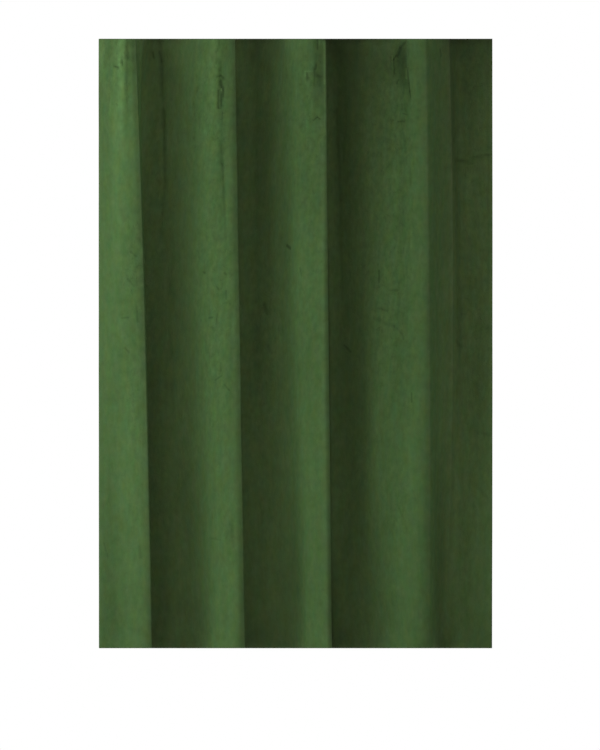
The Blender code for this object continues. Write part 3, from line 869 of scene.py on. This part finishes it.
def pile_material(name):
    """Green velvet pile: upright fibres that scatter light, lying unevenly."""
    n = Nodes(name)
    where = n.attribute("cloth", "Vector")
    crush_and_painted_light = n.attribute("crush_and_painted_light", "Fac")
    painted_marks = painted_spots(n, where)
    # the pile's lie with the painted light and shade of the mesh and of the spots
    light = n.math("ADD", crush_and_painted_light, painted_marks)
    strands = n.noise(where, (0.0007, 0.0011), 2.0, 0.6)
    mottle = n.noise(where, (0.0072, 0.0105), 2.5, 0.52)
    streaks = n.noise(where, (0.0060, 0.045), 3.0, 0.55)
    patches = n.noise(where, (0.016, 0.022), 3.0, 0.6)
    clouds = n.noise(where, (0.040, 0.060), 2.0, 0.5)
    tint = n.noise(where, (0.014, 0.034), 3.0, 0.6)
    warm = n.noise(n.vector("ADD", where, (3.1, 1.7, 0.0)), (0.012, 0.028), 3.0, 0.6)
    rough = n.math("MULTIPLY_ADD", n.attribute("crumple", "Fac"), 0.64, 0.40)

    # short curved creases, one here and there, where the cloth is crumpled: bumped, and darkened a little with painted
    # shade
    ways = n.math("ABSOLUTE", n.math("SUBTRACT", n.noise(where, (0.0120, 0.0110), 1.0, 0.5), 0.5))
    crease = n.ease(ways, 0.010, 0.055, 1.0, 0.0)
    crease = n.math("MULTIPLY", crease, n.ease(n.noise(where, (0.0110, 0.0130), 1.0, 0.5), 0.54, 0.64, 0.0, 1.0))
    crease = n.math("MULTIPLY", crease, n.attribute("crumple", "Fac"))

    colour = n.mix(n.spread(tint, 0.0, 1.0), YELLOWER, BLUER)
    colour = n.product(colour, n.mix(n.spread(warm, 0.0, 1.0), COOL, WARM))
    # painted shade colour in the valleys
    colour = n.product(colour, n.mix(n.attribute("inner", "Fac"), (1, 1, 1, 1), PAINTED_SHADE_TINT))
    # painted sheen along the fold corners
    colour = n.product(colour, n.mix(n.attribute("corner_sheen", "Fac"), (1, 1, 1, 1), PAINTED_CORNER_SHEEN))
    level = n.math("MULTIPLY", n.spread(streaks, 0.95, 1.05), n.spread(patches, 0.92, 1.08))
    level = n.math("MULTIPLY", level, n.spread(clouds, 0.97, 1.03))
    fine = n.math("ADD", n.spread(mottle, -0.155, 0.155), n.spread(strands, -0.030, 0.030))
    level = n.math("MULTIPLY", level, n.math("MULTIPLY_ADD", fine, rough, 1.0))
    # painted shade in the small creases
    level = n.math("MULTIPLY", level, n.math("MULTIPLY_ADD", crease, -0.08, 1.0))
    level = n.math("MULTIPLY", level, n.math("ADD", light, 1.0))
    n.put(n.shader.inputs["Base Color"], n.times(colour, level))
    n.put(n.shader.inputs["Roughness"], n.spread(strands, 0.88, 0.98))
    n.shader.inputs["Specular IOR Level"].default_value = 0.08
    n.shader.inputs["Sheen Weight"].default_value = PILE_SHEEN
    n.shader.inputs["Sheen Roughness"].default_value = 0.42
    n.shader.inputs["Sheen Tint"].default_value = (0.52, 0.86, 0.40, 1)
    lie = n.bump(patches, 0.0016, 0.4)
    lie = n.bump(mottle, 0.0006, 0.4, lie)
    lie = n.bump(n.math("MULTIPLY", crease, -1.0), 0.0010, 0.4, lie)
    n.put(n.shader.inputs["Normal"], n.bump(strands, 0.00028, 0.3, lie))
    return n.material


def ground_material(name):
    """The woven ground on the back: plain weave, matt and greyer than the pile."""
    n = Nodes(name)
    where = n.attribute("cloth", "Vector")
    split = n.tree.nodes.new("ShaderNodeSeparateXYZ")
    n.put(split.inputs[0], where)
    warp = n.math("SINE", n.math("MULTIPLY", split.outputs[0], 2 * math.pi / 0.0009))
    weft = n.math("SINE", n.math("MULTIPLY", split.outputs[1], 2 * math.pi / 0.0009))
    weave = n.math("MULTIPLY_ADD", n.math("MULTIPLY", warp, weft), 0.5, 0.5)
    slub_warp = n.noise(where, (0.0012, 0.040), 2.0, 0.5)
    slub_weft = n.noise(where, (0.045, 0.0012), 2.0, 0.5)
    cloud = n.noise(where, (0.050, 0.080), 2.0, 0.5)
    colour = n.mix(n.spread(cloud, 0.0, 1.0), (0.0760, 0.1090, 0.0570, 1), (0.0690, 0.1060, 0.0600, 1))
    level = n.math("MULTIPLY", n.spread(slub_warp, 0.90, 1.10), n.spread(slub_weft, 0.92, 1.08))
    level = n.math("MULTIPLY", level, n.math("MULTIPLY_ADD", weave, 0.30, 0.85))
    n.put(n.shader.inputs["Base Color"], n.times(colour, level))
    n.shader.inputs["Roughness"].default_value = 0.9
    n.shader.inputs["Specular IOR Level"].default_value = 0.2
    threads = n.bump(n.math("ADD", slub_warp, slub_weft), 0.0002, 0.5)
    n.put(n.shader.inputs["Normal"], n.bump(weave, 0.00012, 0.6, threads))
    return n.material


def thread_material(name):
    """Matching sewing thread with a fine twist."""
    n = Nodes(name)
    place = n.tree.nodes.new("ShaderNodeTexCoord")
    twist = n.tree.nodes.new("ShaderNodeTexNoise")
    twist.inputs["Scale"].default_value = 2600.0
    n.put(twist.inputs["Vector"], place.outputs["Object"])
    n.put(n.shader.inputs["Base Color"], n.times((0.070, 0.130, 0.055), n.spread(twist.outputs["Fac"], 0.85, 1.15)))
    n.shader.inputs["Roughness"].default_value = 0.55
    n.shader.inputs["Sheen Weight"].default_value = 0.1
    n.put(n.shader.inputs["Normal"], n.bump(twist.outputs["Fac"], 0.00005, 0.6))
    return n.material


YELLOWER = (0.0590, 0.1200, 0.0330, 1)
BLUER = (0.0590, 0.1205, 0.0454, 1)
WARM, COOL = (1.12, 0.99, 1.0, 1), (0.88, 1.01, 1.0, 1)
PAINTED_SHADE_TINT = (1.31, 1.10, 1.20, 1)          # painted shade colour: deep in the folds the pile is made browner, as the shade there looks
PAINTED_CORNER_SHEEN = (1.20, 1.06, 1.21, 1)              # painted sheen: the corners of the folds are made greyer and lighter
PILE_SHEEN = 0.0

cloth_mesh, cloth_middle, cloth_out, cloth_across, cloth_drop = drape_mesh("velvet_sheet")
drape = bpy.data.objects.new("velvet_sheet", cloth_mesh)
cloth_mesh.materials.append(pile_material("velvet_pile"))
cloth_mesh.materials.append(ground_material("velvet_ground"))
bpy.context.scene.collection.objects.link(drape)

stitches = bpy.data.objects.new(
    "hem_stitches", stitch_mesh("hem_stitches", cloth_middle, cloth_out, cloth_across, cloth_drop))
stitches.data.materials.append(thread_material("hem_thread"))
bpy.context.scene.collection.objects.link(stitches)

for piece in (drape, stitches):
    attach(piece, "root")
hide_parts("drape_panel")

# ---- floor, light, camera ------------------------------------------------------
CAMERA_BACK = 40.0      # the folds are seen straight on from far away, so the view is parallel
FILL, FILL_COLOUR, FILL_LEAN = 0.62, (1.08, 1.01, 0.98, 1), 0.28
KEY, KEY_COLOUR = 5.9, (1.0, 1.0, 0.97)
scene = bpy.context.scene
world = bpy.data.worlds.new("studio")
scene.world = world
world.use_nodes = True
background = world.node_tree.nodes["Background"]
tree = world.node_tree
place = tree.nodes.new("ShaderNodeTexCoord")
split = tree.nodes.new("ShaderNodeSeparateXYZ")
tree.links.new(place.outputs["Generated"], split.inputs[0])
steep = tree.nodes.new("ShaderNodeMath")
steep.operation = "POWER"
tree.links.new(split.outputs["Z"], steep.inputs[0])
steep.inputs[1].default_value = 2.0
level = tree.nodes.new("ShaderNodeMath")
level.operation = "MULTIPLY_ADD"
tree.links.new(steep.outputs[0], level.inputs[0])
level.inputs[1].default_value = -1.05 * FILL
level.inputs[2].default_value = 1.24 * FILL
lean = tree.nodes.new("ShaderNodeMath")
lean.operation = "MULTIPLY_ADD"
tree.links.new(split.outputs["X"], lean.inputs[0])
lean.inputs[1].default_value = -FILL_LEAN
lean.inputs[2].default_value = 1.0
both = tree.nodes.new("ShaderNodeMath")
both.operation = "MULTIPLY"
tree.links.new(level.outputs[0], both.inputs[0])
tree.links.new(lean.outputs[0], both.inputs[1])
tree.links.new(both.outputs[0], background.inputs["Strength"])
background.inputs["Color"].default_value = FILL_COLOUR
plain = world.node_tree.nodes.new("ShaderNodeBackground")
plain.inputs["Color"].default_value = (1, 1, 1, 1)
plain.inputs["Strength"].default_value = 1.0
seen = world.node_tree.nodes.new("ShaderNodeLightPath")
choose = world.node_tree.nodes.new("ShaderNodeMixShader")
world.node_tree.links.new(seen.outputs["Is Camera Ray"], choose.inputs[0])
world.node_tree.links.new(background.outputs[0], choose.inputs[1])
world.node_tree.links.new(plain.outputs[0], choose.inputs[2])
world.node_tree.links.new(choose.outputs[0], world.node_tree.nodes["World Output"].inputs["Surface"])

floor_mesh = bpy.data.meshes.new("floor")
ring = [(2.6 * math.cos(t), 2.6 * math.sin(t), -DROP - 0.75) for t in np.linspace(0, 2 * math.pi, 97)[:-1]]
floor_mesh.from_pydata(ring, [], [tuple(range(96))])
floor = bpy.data.objects.new("floor", floor_mesh)
scene.collection.objects.link(floor)
paint = bpy.data.materials.new("floor_paint")
paint.use_nodes = True
paint.node_tree.nodes["Principled BSDF"].inputs["Base Color"].default_value = (0.8, 0.8, 0.8, 1)
paint.node_tree.nodes["Principled BSDF"].inputs["Roughness"].default_value = 0.9
floor_mesh.materials.append(paint)


def softbox(name, azimuth, elevation, distance, size, power, colour):
    """An area light at an azimuth left of the view axis, aimed at the panel's middle."""
    data = bpy.data.lights.new(name, "AREA")
    data.shape = "RECTANGLE"
    data.size, data.size_y = size
    data.energy = power
    data.color = colour
    lamp = bpy.data.objects.new(name, data)
    scene.collection.objects.link(lamp)
    a, e = math.radians(azimuth), math.radians(elevation)
    middle = Vector((0, 0, -DROP / 2))
    away = Vector((-math.sin(a) * math.cos(e), -math.cos(a) * math.cos(e), math.sin(e)))
    lamp.location = middle + away * distance
    lamp.rotation_mode = "QUATERNION"
    lamp.rotation_quaternion = away.to_track_quat("Z", "Y")
    lamp.visible_camera = False
    return lamp


softbox("key", 58, 0, 0.9, (0.7, 2.0), KEY, KEY_COLOUR)

camera_data = bpy.data.cameras.new("camera")
camera_data.sensor_fit = "VERTICAL"
camera_data.sensor_height = 36
camera_data.sensor_width = 36
camera_data.type = "ORTHO"
camera_data.ortho_scale = 749.4 * PIXEL
camera_data.clip_end = 100
camera = bpy.data.objects.new("camera", camera_data)
scene.collection.objects.link(camera)
# the panel's middle sits at (295, 343) in the 600 x 750 picture, whose own middle is (300, 375)
camera.location = (5.15 * PIXEL, -CAMERA_BACK, -336 * PIXEL)
camera.rotation_euler = (math.pi / 2, 0, 0)
scene.camera = camera
scene.view_settings.view_transform = "Standard"
